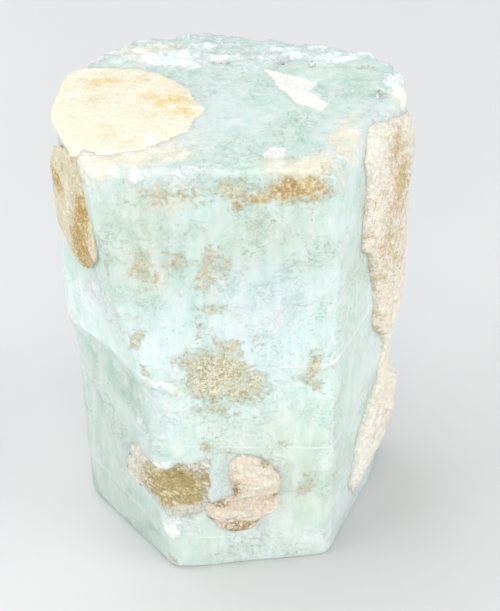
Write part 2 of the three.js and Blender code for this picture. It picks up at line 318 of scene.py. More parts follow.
FROST_SPOTS = (
    ((-3.6, 4.2, 36.0), (2.6, 1.2, 1.6), 1.1), ((-1.9, -9.2, 35.7), (4.6, 1.2, 0.8), 0.6),
    ((7.0, -5.6, 35.8), (1.6, 3.0, 1.6), 0.7), ((-4.8, -10.3, 18.9), (2.0, 1.4, 1.9), 0.75),
    ((-1.9, -10.0, 23.7), (1.1, 1.1, 1.3), 0.9), ((2.4, -9.8, 31.2), (2.8, 1.2, 1.0), 0.55),
    ((2.4, -10.0, 24.6), (3.8, 1.4, 3.4), 0.6), ((-6.6, -9.8, 26.4), (1.9, 1.6, 2.6), 0.6),
    ((-9.8, -6.2, 24.4), (2.8, 3.4, 3.4), 0.65), ((8.6, -6.4, 20.6), (1.8, 2.8, 5.2), 0.4),
    ((-7.4, -9.6, 15.0), (2.4, 2.4, 2.0), 0.7), ((-4.4, -11.0, 4.6), (2.9, 1.4, 1.3), 0.95),
    ((-8.4, -9.0, 9.4), (1.1, 1.6, 2.6), 0.9), ((-5.2, -10.6, 11.6), (3.4, 1.8, 1.1), 1.1),
    ((3.0, -10.2, 15.0), (4.0, 1.2, 3.0), 0.5), ((9.6, -4.6, 30.0), (1.6, 2.6, 4.0), 0.5),
    ((-4.6, 5.4, 36.0), (5.0, 2.0, 2.0), 1.4), ((11.7, 1.6, 35.6), (1.3, 4.2, 1.3), 1.4),
    ((-11.0, -4.6, 25.6), (1.6, 3.0, 1.4), 0.8), ((7.2, -9.0, 21.0), (0.8, 1.4, 6.0), 0.7),
    ((6.9, -9.6, 3.0), (4.0, 1.6, 1.4), 0.6),
)
# Cream and peach veils that cling to the stone beside its matrix and stains.
VEIL_SPOTS = (
    ((4.4, -8.7, 36.0), (4.4, 2.0, 2.2), 1.3), ((7.3, -5.4, 35.9), (2.0, 3.4, 1.8), 1.2),
    ((-6.4, -8.0, 36.0), (3.8, 1.9, 1.6), 1.1), ((-9.2, -7.6, 35.0), (2.0, 2.6, 2.2), 1.05),
    ((-3.8, -6.4, 36.0), (2.6, 1.9, 1.2), 0.85), ((-3.4, -9.8, 34.0), (4.8, 1.4, 2.0), 0.7),
    ((-5.9, -10.0, 28.6), (2.6, 1.2, 4.4), 0.6), ((-0.9, -10.2, 19.2), (4.4, 1.6, 4.0), 0.7),
    ((5.6, -9.9, 19.6), (1.4, 1.2, 2.2), 0.55), ((1.6, -10.3, 8.0), (3.6, 1.2, 5.2), 0.45),
    ((-5.0, -10.8, 7.6), (4.2, 2.6, 4.8), 0.65), ((-1.4, -10.0, 27.4), (1.8, 1.2, 4.0), 0.6),
    ((-10.6, -5.0, 34.4), (2.2, 3.4, 2.2), 1.1), ((-10.9, -4.6, 29.6), (2.0, 4.6, 4.8), 0.75),
    ((-4.4, -9.8, 34.6), (4.4, 1.4, 1.6), 0.6), ((-5.2, -7.4, 36.0), (4.6, 1.7, 1.4), 1.4),
    ((-8.8, -8.2, 36.0), (2.6, 1.8, 1.6), 1.4), ((7.4, -4.2, 36.0), (1.0, 2.6, 1.0), 1.1),
    ((-6.4, 6.6, 36.0), (4.4, 2.4, 2.2), 0.9), ((11.5, 0.6, 35.6), (1.3, 3.4, 1.4), 0.8),
)
# Bruised spots on the top face that glitter; their sparkle is a painted highlight, white with dark rims.
GLINT_SPOTS = (
    ((3.4, 4.9, 36.0), (1.0, 0.7, 1.5), 1.0), ((5.4, 4.6, 36.0), (0.7, 0.6, 1.5), 1.0),
    ((10.0, 0.4, 36.0), (0.8, 1.0, 1.6), 1.0), ((9.1, 4.1, 35.8), (0.7, 0.6, 1.4), 0.6),
    ((-0.9, 4.7, 36.0), (1.1, 0.5, 1.4), 0.7),
)
# Where the milky stone is bluer, and where it is a warmer grey-green.
COOL_SPOTS = (
    ((2.0, -10.0, 24.0), (6.0, 4.0, 8.0), 1.0), ((-4.0, -10.0, 23.0), (4.0, 4.0, 6.0), 0.6),
    ((1.0, -10.5, 14.5), (3.0, 3.0, 2.5), 0.7),
)
WARM_SPOTS = (
    ((-6.0, -10.0, 31.0), (4.0, 4.0, 6.0), 1.0), ((4.0, -10.0, 9.0), (6.0, 5.0, 8.0), 1.0),
    ((0.0, -11.0, 2.5), (9.0, 6.0, 3.5), 0.5), ((-10.0, -6.0, 8.0), (4.0, 6.0, 10.0), 0.4),
    ((2.0, -9.8, 30.8), (5.4, 3.0, 3.8), 0.9), ((9.8, -4.6, 28.0), (2.6, 4.6, 6.5), 0.8),
    ((1.0, -10.4, 13.0), (6.0, 4.0, 4.0), 0.7),
)
# Flat bright scars on the top face, as outlines in X and Y.
LONG_SCAR = (
    (2.0, 3.9), (3.4, 3.1), (5.8, 2.1), (5.2, 0.6), (6.5, -1.2), (6.0, -2.1), (4.4, -1.0), (3.2, 1.2),
)
FLAKE_SCAR = (
    (1.9, -7.5), (2.4, -6.5), (3.7, -6.6), (3.3, -7.3), (3.1, -8.1), (2.5, -8.0),
)
# The cap's outline in X and Y, and its middle.
CAP_OUTLINE = (
    (-9.1, -7.4), (-7.9, -8.0), (-6.7, -7.7), (-5.4, -7.0), (-4.2, -6.2), (-3.2, -5.5), (-2.5, -4.7),
    (-2.4, -3.6), (-1.9, -2.9), (-1.4, -2.1), (-2.3, -0.4), (-3.2, 1.6), (-4.4, 2.8), (-5.8, 3.7),
    (-7.6, 4.1), (-9.5, 4.1), (-12.4, 3.4), (-13.4, 0.0), (-13.4, -2.9), (-12.4, -4.9), (-10.9, -6.9),
)
CAP_MIDDLE = (-7.2, -1.8)
# The rusty crust on the left face: its middle, the direction along the face, and its outline along
# the face and up about that middle.
LEFT_CRUST_PLACE = (-10.34, -6.15, 30.4)
LEFT_CRUST_ALONG = (3.85, -7.3, 0)
LEFT_CRUST_OUTLINE = (
    (1.3, 5.0), (1.8, 3.6), (1.8, 2.2), (2.4, 1.4), (2.7, -0.2), (2.7, -2.1), (1.7, -3.3), (0.4, -4.0),
    (-1.2, -4.5), (-3.0, -4.0), (-4.3, -3.3), (-4.5, -1.2), (-4.5, 2.2), (-3.3, 3.6), (-1.4, 4.4),
    (0.1, 5.0),
)
# The etched pit low on the front left edge: its middle, the direction across it, and its ragged outline
# across and up about that middle.
PIT_PLACE = (-5.2, -10.2, 8.3)
PIT_ACROSS = (1, -0.35, 0)
PIT_OUTLINE = (
    (3.2, -1.0), (2.9, -0.1), (3.0, 1.8), (2.9, 2.9), (1.8, 2.6), (1.2, 2.9), (0.8, 2.1), (-0.2, 2.0),
    (-1.0, 2.1), (-1.8, 2.5), (-2.4, 2.7), (-2.7, 1.3), (-3.2, -0.6), (-2.0, -1.4), (-0.7, -1.7),
    (0.2, -2.7), (1.2, -2.6), (2.0, -2.8), (2.9, -2.0),
)
# The knob on the front face: where its middle goes, the middle that its outline is drawn about, and
# the outline in X and Z, bitten into on its left.
KNOB_PLACE = (1.1, -10.3, 6.9)
KNOB_MIDDLE = (1.6, 7.3)
KNOB_OUTLINE = (
    (3.9, 9.3), (3.0, 11.4), (1.4, 12.3), (0.2, 12.1), (0.1, 10.9), (0.4, 9.2), (0.6, 8.3),
    (-0.7, 7.6), (-2.0, 7.2), (-1.9, 6.2), (-1.1, 4.8), (0.0, 4.1), (1.5, 4.2), (2.5, 5.6), (3.8, 7.4),
)
# How deep the pit, the scars and the hollow under the cap are; the hollow's size for each of the cap's.
PIT_DEPTH, SCAR_DEPTH, SOCKET_DEPTH, SOCKET_SIZE = 1.5, 0.10, 0.6, 0.76
# The bulge on the left face, below the rusty crust.
BULGE_HEIGHT, BULGE_PLACE, BULGE_HALF_SIZES = 0.7, (-12, -2.6, 21.5), (4, 4.5, 6)
# The ragged slope at the back and its frosting wander alike.
BACK_SEED = 81


def inside_outline(points, outline, softness):
    """1 inside an outline in the points' first two coordinates, 0 outside, soft across its edge: the
    distance to the nearest side, positive where the turns from corner to corner add up to a circle."""
    corners = np.array(outline)
    flat = points[..., :2]
    best = np.full(flat.shape[:-1], np.inf)
    turns = np.zeros(flat.shape[:-1])
    for start, end in zip(corners, np.roll(corners, -1, axis=0)):
        side, to_point = end - start, flat - start
        share = np.clip((to_point @ side) / (side @ side), 0, 1)
        best = np.minimum(best, np.linalg.norm(to_point - share[..., None] * side, axis=-1))
        left, right = start - flat, end - flat
        cross = left[..., 0] * right[..., 1] - left[..., 1] * right[..., 0]
        turns += np.arctan2(cross, (left * right).sum(axis=-1))
    signed = np.where(np.abs(turns) > math.pi, best, -best)
    return smooth_step(-softness, softness, signed)


def fracture_gap(points, fracture):
    """Height of each point above a fracture's plane."""
    level, right, back = fracture
    return points[..., 2] - (level + right * points[..., 0] + back * points[..., 1])


def top_share(points):
    """1 on the top face, 0 on the sides."""
    return smooth_step(HEIGHT - 1.9, HEIGHT - 0.5, points[..., 2])


def frost_field(points, top):
    """White frosting: its own spots, streaks on the chipped slope at the back, and a broken rim."""
    spots = field_of(warped(points, 1.6, 3.0, 51), FROST_SPOTS)
    wander = layered_noise(points, 2.5, 3, BACK_SEED)
    back = smooth_step(-0.6, 0.8, points[..., 1] - BACK_START[1] + wander)
    streaks = top * back * (0.5 + 0.8 * layered_noise(points * (0.5, 1, 1), 1.3, 3, 83))
    rim = rim_share(points) * (0.42 + 0.5 * layered_noise(points, 1.8, 3, 85))
    return np.max([spots, streaks, rim], axis=0)


def clear_field(points, top):
    """How clear the stone is: clearer on top, high on its sides and at its foot, and below the upper
    fracture, most of all towards the left and the right."""
    x, y, z = np.moveaxis(points, -1, 0)
    below = smooth_step(0.0, 0.25, -fracture_gap(points, UPPER_FRACTURE))
    left = smooth_step(-3.6, -7.2, x + 0.25 * (y + 10))
    right = smooth_step(6.4, 7.8, x + 0.2 * (y + 10))
    foot = smooth_step(3.6, 1.6, z + 0.12 * x)
    high = smooth_step(20, 29, z) * (1 - top)
    return 0.2 + 0.2 * top + 0.2 * high + below * (0.04 + 0.24 * left + 0.1 * right) + 0.05 * foot


def crystal_masks(points):
    """What lies on the crystal at each point, from 0 to 1, in three sets: the stains (rust, tan,
    frost), the looks (clear, scar, veil) and the tints (glint, cool, warm)."""
    top = top_share(points)
    ragged = warped(points, 1.1, 2.2, 31)
    rust = field_of(ragged, RUST_SPOTS)
    tan = field_of(ragged, TAN_SPOTS)
    frost = frost_field(points, top)
    clear = clear_field(points, top)
    chipped = warped(points, 0.35, 1.2, 91)
    scar = np.maximum(inside_outline(chipped, LONG_SCAR, 0.15), inside_outline(chipped, FLAKE_SCAR, 0.12))
    veil = field_of(warped(points, 1.2, 2.6, 61), VEIL_SPOTS)
    glint = field_of(warped(points, 0.5, 1.0, 93), GLINT_SPOTS)
    broad = warped(points, 2.5, 5.0, 95)
    cool = 1.6 * field_of(broad, COOL_SPOTS)
    warm = 1.4 * field_of(broad, WARM_SPOTS)
    stains = np.stack([rust, tan, frost], axis=-1)
    looks = np.stack([clear, scar * top, veil], axis=-1)
    tints = np.stack([glint * top, cool * (1 - top), warm * (1 - top)], axis=-1)
    return [np.clip(mask, 0, 1) for mask in (stains, looks, tints)]


def pit_depth(points):
    """The etched pit: full depth inside its ragged outline, with steep sides."""
    across = np.array(PIT_ACROSS) / np.linalg.norm(PIT_ACROSS)
    moved = warped(points, 0.45, 1.1, 101) - np.array(PIT_PLACE)
    flat = np.stack([moved @ across, moved[..., 2]], axis=-1)
    return PIT_DEPTH * inside_outline(flat, PIT_OUTLINE, 0.4) * smooth_step(-6, -8, points[..., 1])


def socket_share(points):
    """1 in the hollow under the cap and 0 outside it: the cap's outline, drawn in, on the top face."""
    outline = np.array(CAP_MIDDLE) + SOCKET_SIZE * np.subtract(CAP_OUTLINE, CAP_MIDDLE)
    return inside_outline(points, outline, 0.25) * smooth_step(HEIGHT - 1.6, HEIGHT - 0.6, points[..., 2])


def crystal_relief(points, stains, looks, tints):
    """How far each point stands out along its normal, in millimetres: broad swells, the etched
    grain, striations up the sides, the scars and chips of the top face, crusts and the pit."""
    top = top_share(points)
    rust, tan, frost = np.moveaxis(stains, -1, 0)
    scar, glint = looks[..., 1], tints[..., 0]
    swell = 0.10 * layered_noise(points, 7.0, 2, 1) + 0.035 * layered_noise(points, 1.5, 3, 5)
    bulge = BULGE_HEIGHT * np.clip(1.4 * blob(points, BULGE_PLACE, BULGE_HALF_SIZES), 0, 1)
    striations = 0.018 * layered_noise(points * (1, 1, 0.06), 0.8, 2, 9) * (1 - top)
    steps = 0.02 * np.tanh(6 * layered_noise(points * (0.2, 0.2, 1), 1.6, 2, 11)) * (1 - top)
    crusted = 0.09 * smooth_step(0.2, 0.5, tan) + 0.12 * smooth_step(0.2, 0.5, rust)
    grain = crusted * layered_noise(points, 0.7, 3, 13)
    back = top * smooth_step(4.0, 5.2, points[..., 1] + layered_noise(points, 2.5, 3, BACK_SEED))
    ragged = back * (0.42 * ridges(points * (0.5, 1, 1), 1.6, 4, 17) - 0.12)
    chips = 0.5 * rim_share(points) * np.clip(layered_noise(points, 1.8, 3, 23) - 0.05, 0, 1)
    bruise = smooth_step(0.1, 0.6, glint) * (0.25 + 0.5 * layered_noise(points, 0.55, 2, 27))
    frosting = 0.07 * smooth_step(0.3, 0.7, frost) * layered_noise(points, 0.5, 2, 29)
    raised = swell + bulge + striations + steps + grain + ragged + frosting
    sunk = SCAR_DEPTH * scar + SOCKET_DEPTH * socket_share(points) + chips + bruise + pit_depth(points)
    return raised - sunk


def rim_share(points):
    """1 along the rim of the top face and 0 well away from it."""
    x, y, z = np.moveaxis(points, -1, 0)
    reach = np.hypot(x, y) / prism_radius(np.arctan2(y, x), np.full(x.shape, RIM_LEVEL))
    return smooth_step(0.9, 0.97, reach) * smooth_step(HEIGHT - 2.6, HEIGHT - 1.2, z)


# ---------------------------------------------------------------- node helpers

class Finish:
    """A material under construction: its node tree, with short ways to add and link nodes."""

    def __init__(self, name):
        self.material = bpy.data.materials.new(name)
        self.material.use_nodes = True
        self.tree = self.material.node_tree
        self.shader = self.tree.nodes["Principled BSDF"]
        self.output = self.tree.nodes["Material Output"]
        self.place = self.tree.nodes.new("ShaderNodeTexCoord").outputs["Object"]

    def node(self, kind, inputs=None, **settings):
        """A node with these settings; an input is fed a number, a colour or another node's output."""
        made = self.tree.nodes.new(kind)
        for key, value in settings.items():
            setattr(made, key, value)
        for key, value in (inputs or {}).items():
            self.feed(made.inputs[key], value)
        return made

    def feed(self, socket, value):
        if isinstance(value, bpy.types.NodeSocket):
            self.tree.links.new(value, socket)
        else:
            socket.default_value = value

    def noise(self, size, detail=4.0, roughness=0.55, distortion=0.0, stretch=None, turn=0.0):
        """Noise whose features are about `size` millimetres across, or `stretch` times that along each
        axis, the axes turned by `turn` degrees about Y."""
        where = self.place
        if stretch:
            settings = {"Vector": where, "Scale": stretch, "Rotation": (0, math.radians(turn), 0)}
            where = self.node("ShaderNodeMapping", settings, vector_type="TEXTURE").outputs["Vector"]
        settings = {"Vector": where, "Scale": 1 / (size * MM), "Detail": detail,
                    "Roughness": roughness, "Distortion": distortion}
        return self.node("ShaderNodeTexNoise", settings).outputs["Fac"]

    def math(self, operation, first, second=0.0):
        return self.node("ShaderNodeMath", {0: first, 1: second}, operation=operation).outputs[0]

    def plus(self, first, second):
        return self.math("ADD", first, second)

    def minus(self, first, second):
        return self.math("SUBTRACT", first, second)

    def times(self, first, second):
        return self.math("MULTIPLY", first, second)

    def most(self, first, second):
        return self.math("MAXIMUM", first, second)

    def step(self, value, low, high, out_low=0.0, out_high=1.0):
        """A smooth step from out_low below `low` to out_high above `high`."""
        settings = {"Value": value, "From Min": low, "From Max": high}
        settings.update({"To Min": out_low, "To Max": out_high})
        return self.node("ShaderNodeMapRange", settings, interpolation_type="SMOOTHSTEP").outputs["Result"]

    def mix(self, share, first, second):
        """The first colour where the share is 0 and the second where it is 1."""
        settings = {0: share, 6: first, 7: second}
        return self.node("ShaderNodeMix", settings, data_type="RGBA").outputs[2]

    def over(self, below, mask, share, coat):
        """A coat over the colour below it, at `share` of full strength where the mask is 1."""
        return self.mix(self.times(mask, share), below, coat)

    def parts(self, attribute):
        """The three numbers of a colour attribute on the mesh."""
        colour = self.node("ShaderNodeAttribute", attribute_name=attribute).outputs["Color"]
        return self.node("ShaderNodeSeparateColor", {"Color": colour}).outputs

    def bump(self, height, depth):
        """Bump whose full height is `depth` millimetres."""
        settings = {"Height": height, "Distance": depth * MM, "Strength": 1.0}
        self.feed(self.shader.inputs["Normal"], self.node("ShaderNodeBump", settings).outputs["Normal"])

    def above(self, plane):
        """Height in millimetres above one of the stone's slanting planes."""
        level, right, back = plane
        start = AXIS[2] + level * MM - right * AXIS[0] - back * AXIS[1]
        dot = self.node("ShaderNodeVectorMath", {0: self.place, 1: (-right, -back, 1)},
                        operation="DOT_PRODUCT")
        return self.math("DIVIDE", self.minus(dot.outputs["Value"], start), MM)

    def strand(self, value, width):
        """1 along the curling lines where noise passes through its middle, 0 a `width` away."""
        return self.step(self.math("ABSOLUTE", self.minus(value, 0.5)), width, width * 0.2)

    def set(self, **values):
        """Feeds the shader's own sockets, named with _ for each space."""
        for key, value in values.items():
            self.feed(self.shader.inputs[key.replace("_", " ")], value)


def srgb(red, green, blue):
    """A colour given as it looks on a screen, 0 to 255, as the shader's linear numbers."""
    shares = np.array([red, green, blue]) / 255
    linear = np.where(shares > 0.04045, ((shares + 0.055) / 1.055) ** 2.4, shares / 12.92)
    return (*linear.tolist(), 1.0)


# ---------------------------------------------------------------- finishes

BERYL_IOR = 1.577
# Planes that show as lines on the surface: the plane, the line's half width and its strength.
CROSS_LINES = ((UPPER_FRACTURE, 0.18, 1.0), (LOWER_FRACTURE, 0.18, 0.9), (GROWTH_LINE, 0.16, 0.5))

# Each kind of matrix: its pale, warm and dark colours, how deep its grain is in millimetres and how
# strongly its dirt and painted shade show. The pit's earth is drawn out into slanting streaks.
MATRIX = {
    "cream_feldspar": {
        "pale": (234, 226, 202), "warm": (232, 208, 142), "dark": (216, 188, 146),
        "depth": 0.08, "dirt_and_shade_share": 0.5,
    },
    "pale_feldspar": {
        "pale": (248, 238, 222), "warm": (226, 202, 156), "dark": (190, 164, 118),
        "depth": 0.18, "dirt_and_shade_share": 0.6,
    },
    "rusty_feldspar": {
        "pale": (236, 224, 190), "warm": (216, 186, 114), "dark": (180, 142, 74),
        "depth": 0.22, "dirt_and_shade_share": 0.7,
    },
    "pink_feldspar": {
        "pale": (240, 224, 204), "warm": (228, 206, 170), "dark": (158, 138, 86),
        "depth": 0.2, "dirt_and_shade_share": 0.9,
    },
    "brown_earth": {
        "pale": (253, 246, 230), "warm": (240, 226, 178), "dark": (186, 162, 96),
        "depth": 0.35, "dirt_and_shade_share": 0.72, "stretch": (3.0, 1, 0.7), "turn": 35,
    },
}


def ragged_patch(f, field, grain, wander, low, high):
    """1 inside a field of spots and 0 outside, its edge moved in and out by `wander` times the grain."""
    ragged = f.step(f.plus(field, f.times(grain, wander)), low, high)
    return f.times(ragged, f.step(field, 0.02, 0.16))


def cross_lines(f):
    """Pale lines where the fractures and the growth plane come out, rippled and broken."""
    lines = 0.0
    for plane, width, strength in CROSS_LINES:
        ripple = f.times(f.minus(f.noise(4.0, 3.0), 0.5), 0.5)
        gap = f.math("ABSOLUTE", f.plus(f.above(plane), ripple))
        lines = f.most(lines, f.times(f.step(gap, width, 0.03), strength))
    return f.times(lines, f.step(f.noise(2.4, 4.0), 0.44, 0.60, 0.3, 1.0))


def milky_body(f, fine, coarse, etched, clear, cool, warm):
    """The stone's own colour: cloudy milk, greener and deeper where it is clear, with pale and dark
    streaks up the sides, etched curls, clusters of flecks and patches of chalk."""
    cloud = f.noise(6.0, 4.0, 0.55, 0.8)
    body = f.mix(f.step(cloud, 0.38, 0.62), srgb(217, 239, 230), srgb(232, 246, 244))
    body = f.mix(f.step(coarse, 0.42, 0.70), body, srgb(228, 240, 232))
    body = f.over(body, f.step(clear, 0.25, 0.7), 0.75, srgb(222, 245, 232))
    deep = f.times(f.step(clear, 0.28, 0.50), f.step(f.noise(3.0, 3.0, 0.5, 0.6), 0.50, 0.62))
    body = f.over(body, deep, 0.7, srgb(198, 226, 212))
    body = f.over(body, cool, 0.8, srgb(227, 243, 244))
    body = f.over(body, warm, 0.8, srgb(217, 230, 212))
    body = f.over(body, etched, 0.4, srgb(176, 196, 180))
    streaks = f.noise(0.8, 4.0, 0.6, 0.3, stretch=(1, 1, 4))
    body = f.over(body, f.step(streaks, 0.46, 0.66), 0.45, srgb(246, 252, 249))
    body = f.over(body, f.step(streaks, 0.50, 0.36), 0.22, srgb(190, 214, 202))
    clusters = f.step(f.noise(3.6, 3.0), 0.45, 0.60)
    flecks = f.times(f.step(fine, 0.56, 0.66), clusters)
    body = f.over(body, flecks, 0.6, srgb(160, 170, 142))
    chalk = f.times(f.step(f.noise(0.6, 5.0, 0.7), 0.54, 0.64), f.step(cloud, 0.44, 0.60))
    return f.over(body, chalk, 0.7, srgb(248, 253, 250))


def aquamarine_finish():
    """Milky blue-green beryl: part of its light goes through it and is coloured by depth, part is
    scattered by its veils. Rust, tan, frost and cream lie on it where the mesh's masks say, and a
    painted highlight glints white on the bruised spots of the top face."""
    f = Finish("aquamarine")
    rust_field, tan_field, frost_spots = f.parts("stains")[:3]
    clear, scar_spots, veil_field = f.parts("looks")[:3]
    glint_field, cool, warm = f.parts("tints")[:3]
    fine = f.noise(0.3, 5.0, 0.65)
    coarse = f.noise(1.3, 5.0, 0.6, 0.4)
    curls = f.strand(f.noise(0.9, 3.0, 0.5, 1.6), 0.022)
    fine_curls = f.strand(f.noise(0.45, 2.0, 0.5, 1.2), 0.05)
    etched = f.times(curls, f.step(f.noise(3.2, 3.0), 0.42, 0.62))
    grain = f.minus(f.plus(f.times(fine, 0.5), f.times(coarse, 0.5)), 0.5)

    frost = ragged_patch(f, frost_spots, grain, 2.8, 0.30, 0.66)
    veil = ragged_patch(f, veil_field, grain, 1.2, 0.12, 0.85)
    tan = ragged_patch(f, tan_field, grain, 2.4, 0.08, 0.66)
    rust = ragged_patch(f, rust_field, grain, 1.5, 0.14, 0.85)
    glint = ragged_patch(f, glint_field, grain, 1.5, 0.25, 0.50)
    scar = f.step(f.plus(scar_spots, f.times(grain, 1.2)), 0.36, 0.56)
    lines = cross_lines(f)

    colour = milky_body(f, fine, coarse, etched, clear, cool, warm)
    frosting = f.mix(f.step(fine, 0.38, 0.60), srgb(228, 241, 236), srgb(250, 253, 251))
    colour = f.over(colour, frost, 0.68, frosting)
    colour = f.over(colour, lines, 0.85, f.mix(fine, srgb(222, 234, 228), srgb(252, 254, 250)))
    colour = f.over(colour, scar, 0.9, f.mix(fine, srgb(236, 234, 228), srgb(254, 250, 246)))
    cream = f.mix(f.step(coarse, 0.4, 0.6), srgb(238, 226, 204), srgb(249, 243, 230))
    colour = f.over(colour, veil, 0.85, cream)
    squiggles = f.most(fine_curls, f.step(fine, 0.46, 0.66))
    tan_dark = f.mix(f.step(tan_field, 0.25, 0.7), srgb(192, 182, 146), srgb(164, 153, 108))
    colour = f.over(colour, tan, 0.9, f.mix(squiggles, srgb(221, 219, 194), tan_dark))
    ochre = f.mix(f.step(fine, 0.36, 0.60), srgb(238, 222, 186), srgb(206, 176, 112))
    core = f.times(f.step(coarse, 0.40, 0.60), f.step(fine, 0.30, 0.60))
    colour = f.over(colour, rust, 0.95, f.over(ochre, core, 0.8, srgb(166, 134, 70)))
    # Painted highlight: the bruised spots sparkle white, with dark rims, in the colour itself.
    painted_glint = f.mix(fine_curls, srgb(254, 255, 254), srgb(164, 180, 174))
    colour = f.over(colour, glint, 0.9, painted_glint)

    cover = f.most(f.times(f.most(frost, veil), 0.7), f.most(tan, rust))
    cover = f.most(cover, f.times(f.most(scar, lines), 0.8))
    through = f.times(f.minus(1.0, cover), f.step(clear, 0.1, 0.8, 0.16, 0.5))
    rough = f.plus(f.step(cover, 0.0, 1.0, 0.32, 0.66), f.times(fine, 0.14))
    rough = f.times(rough, f.step(glint, 0.0, 1.0, 1.0, 0.3))
    relief = f.times(fine, f.step(f.most(cover, glint), 0.0, 1.0, 0.35, 1.2))
    relief = f.minus(f.plus(relief, f.times(coarse, 0.6)), f.times(etched, 0.35))
    f.bump(relief, 0.18)
    f.set(Base_Color=colour, Transmission_Weight=through, Roughness=rough, IOR=BERYL_IOR)
    f.set(Subsurface_Weight=0.5, Subsurface_Scale=1.5 * MM, Subsurface_Radius=(0.8, 1.0, 0.95))
    haze = f.node("ShaderNodeVolumeAbsorption", {"Color": (0.62, 0.92, 0.84, 1.0), "Density": 18.0})
    f.tree.links.new(haze.outputs["Volume"], f.output.inputs["Volume"])
    return f.material


def matrix_finish(name, pale, warm, dark, depth, dirt_and_shade_share, stretch=(1, 1, 1), turn=0.0):
    """Granular matrix: pale grains with crests lightened as a painted highlight, warm stain in broad
    patches, dark dirt in curling seams and spots, and painted shade in the hollows and on what faces
    down. `stretch` and `turn` draw the patches out into streaks."""
    f = Finish(name)
    dirty_and_shaded, stained, bleached_and_lit = f.parts("wear")[:3]
    fine = f.noise(0.22, 5.0, 0.65)
    patches = f.noise(0.8, 5.0, 0.7, 0.5, stretch, turn)
    wander = f.minus(f.plus(f.times(fine, 0.5), f.times(patches, 0.5)), 0.5)
    seams = f.strand(f.noise(0.4, 4.0, 0.6, 0.7, stretch, turn), 0.08)

    def patch(field, low, high):
        return f.step(f.plus(field, f.times(wander, 2.8)), low, high)

    colour = f.mix(patch(stained, 0.30, 0.75), srgb(*pale), srgb(*warm))
    # Pale spots, with the painted highlight on crests.
    colour = f.over(colour, patch(bleached_and_lit, 0.25, 0.85), 0.6, srgb(248, 244, 234))
    colour = f.over(colour, f.step(fine, 0.45, 0.70), 0.45, srgb(250, 247, 238))
    # Dark dirt in seams and spots, with the painted shade of hollows and undersides.
    dirt_and_shade = f.most(patch(dirty_and_shaded, 0.35, 0.85), f.times(seams, patch(stained, 0.2, 0.6)))
    colour = f.over(colour, dirt_and_shade, dirt_and_shade_share, srgb(*dark))
    relief = f.minus(f.plus(fine, f.times(patches, 0.8)), f.times(seams, 0.3))
    f.bump(relief, depth)
    f.set(Base_Color=colour, Roughness=f.step(fine, 0.3, 0.7, 0.55, 0.85), Specular_IOR_Level=0.35)
    f.set(Subsurface_Weight=0.15, Subsurface_Scale=1.2 * MM)
    return f.material


def fracture_finish():
    """A healed fracture inside the crystal: a silvery film of tiny cavities, patchy and see-through."""
    f = Finish("healed_fracture")
    film = f.noise(1.6, 5.0, 0.65, 1.2)
    f.set(Base_Color=f.mix(f.step(film, 0.4, 0.65), srgb(206, 228, 226), srgb(245, 250, 250)))
    f.set(Alpha=f.step(film, 0.42, 0.70, 0.03, 0.35), Roughness=0.35)
    return f.material


def floor_finish():
    """A pale matt tabletop with the faintest mottling."""
    f = Finish("pale_floor")
    mottling = f.mix(f.noise(30.0, 3.0), (0.60, 0.60, 0.595, 1), (0.63, 0.63, 0.625, 1))
    f.set(Base_Color=mottling, Roughness=0.7)
    return f.material


# ---------------------------------------------------------------- pieces

ALONG_X, ALONG_Y, UPWARDS = (1, 0, 0), (0, 1, 0), (0, 0, 1)
# The pit's filling is this much wider than the pit, so it runs under its walls.
FILLING_SIZE = 1.18
# Each fracture's film stops this far short of the sides.
FILM_INSET, FILM_HALF_THICKNESS = 0.5, 0.02

# Where each piece of matrix is warm, dark or pale, each spot as centre, half sizes and strength.
CAP_STAINS = {
    "warm": [
        ((-4.2, -1.2, 36), (2.6, 2.1, 2), 1.1), ((-3.4, -2.6, 36), (1.6, 1.4, 2), 0.9),
        ((-8.6, 1.2, 36), (3.6, 2.2, 2), 0.7),
    ],
    "dirty_and_shaded": [
        ((-9.0, -1.2, 36), (2.6, 2.4, 2), 0.8), ((-6.4, -6.4, 36), (3.2, 1.6, 2), 0.7),
        ((-6.2, -2.2, 36), (1.6, 2.4, 2), 0.5),
    ],
    "pale": [
        ((-7.0, -7.6, 36), (3.4, 1.2, 2), 0.8), ((-11.5, 0.0, 35), (1.5, 3.5, 2), 0.7),
    ],
}

RIGHT_CRUST_STAINS = {
    "warm": [
        ((11.3, -2.2, 30.6), (2.2, 3.0, 3.6), 1.0), ((10.6, -2.8, 33.8), (2.8, 3.6, 2.8), 0.75),
        ((10.6, -3.0, 27.0), (5.0, 7.0, 11.0), 0.62), ((9.6, -5.0, 24.5), (3.6, 4.0, 5.5), 0.62),
        ((8.4, -6.6, 31.5), (1.2, 2.2, 3.4), 0.6), ((10.8, -2.2, 20.0), (2.0, 3.0, 4.0), 0.55),
        ((10.4, -3.6, 8.0), (2.2, 3.0, 3.0), 0.4),
    ],
    "dirty_and_shaded": [
        ((8.6, -6.2, 29.0), (1.0, 1.8, 3.0), 0.45), ((10.2, -3.4, 22.0), (1.4, 1.6, 3.0), 0.35),
    ],
    "pale": [
        ((12.9, -0.6, 33.0), (1.5, 1.8, 3.6), 0.8), ((12.6, 0.0, 14.0), (1.6, 3.0, 5.0), 1.1),
        ((9.8, -4.6, 8.0), (4.0, 5.4, 6.0), 1.5), ((8.8, -6.4, 3.6), (2.0, 3.0, 3.0), 0.9),
        ((12.8, 0.2, 24.0), (0.9, 2.0, 8.0), 0.9),
    ],
}

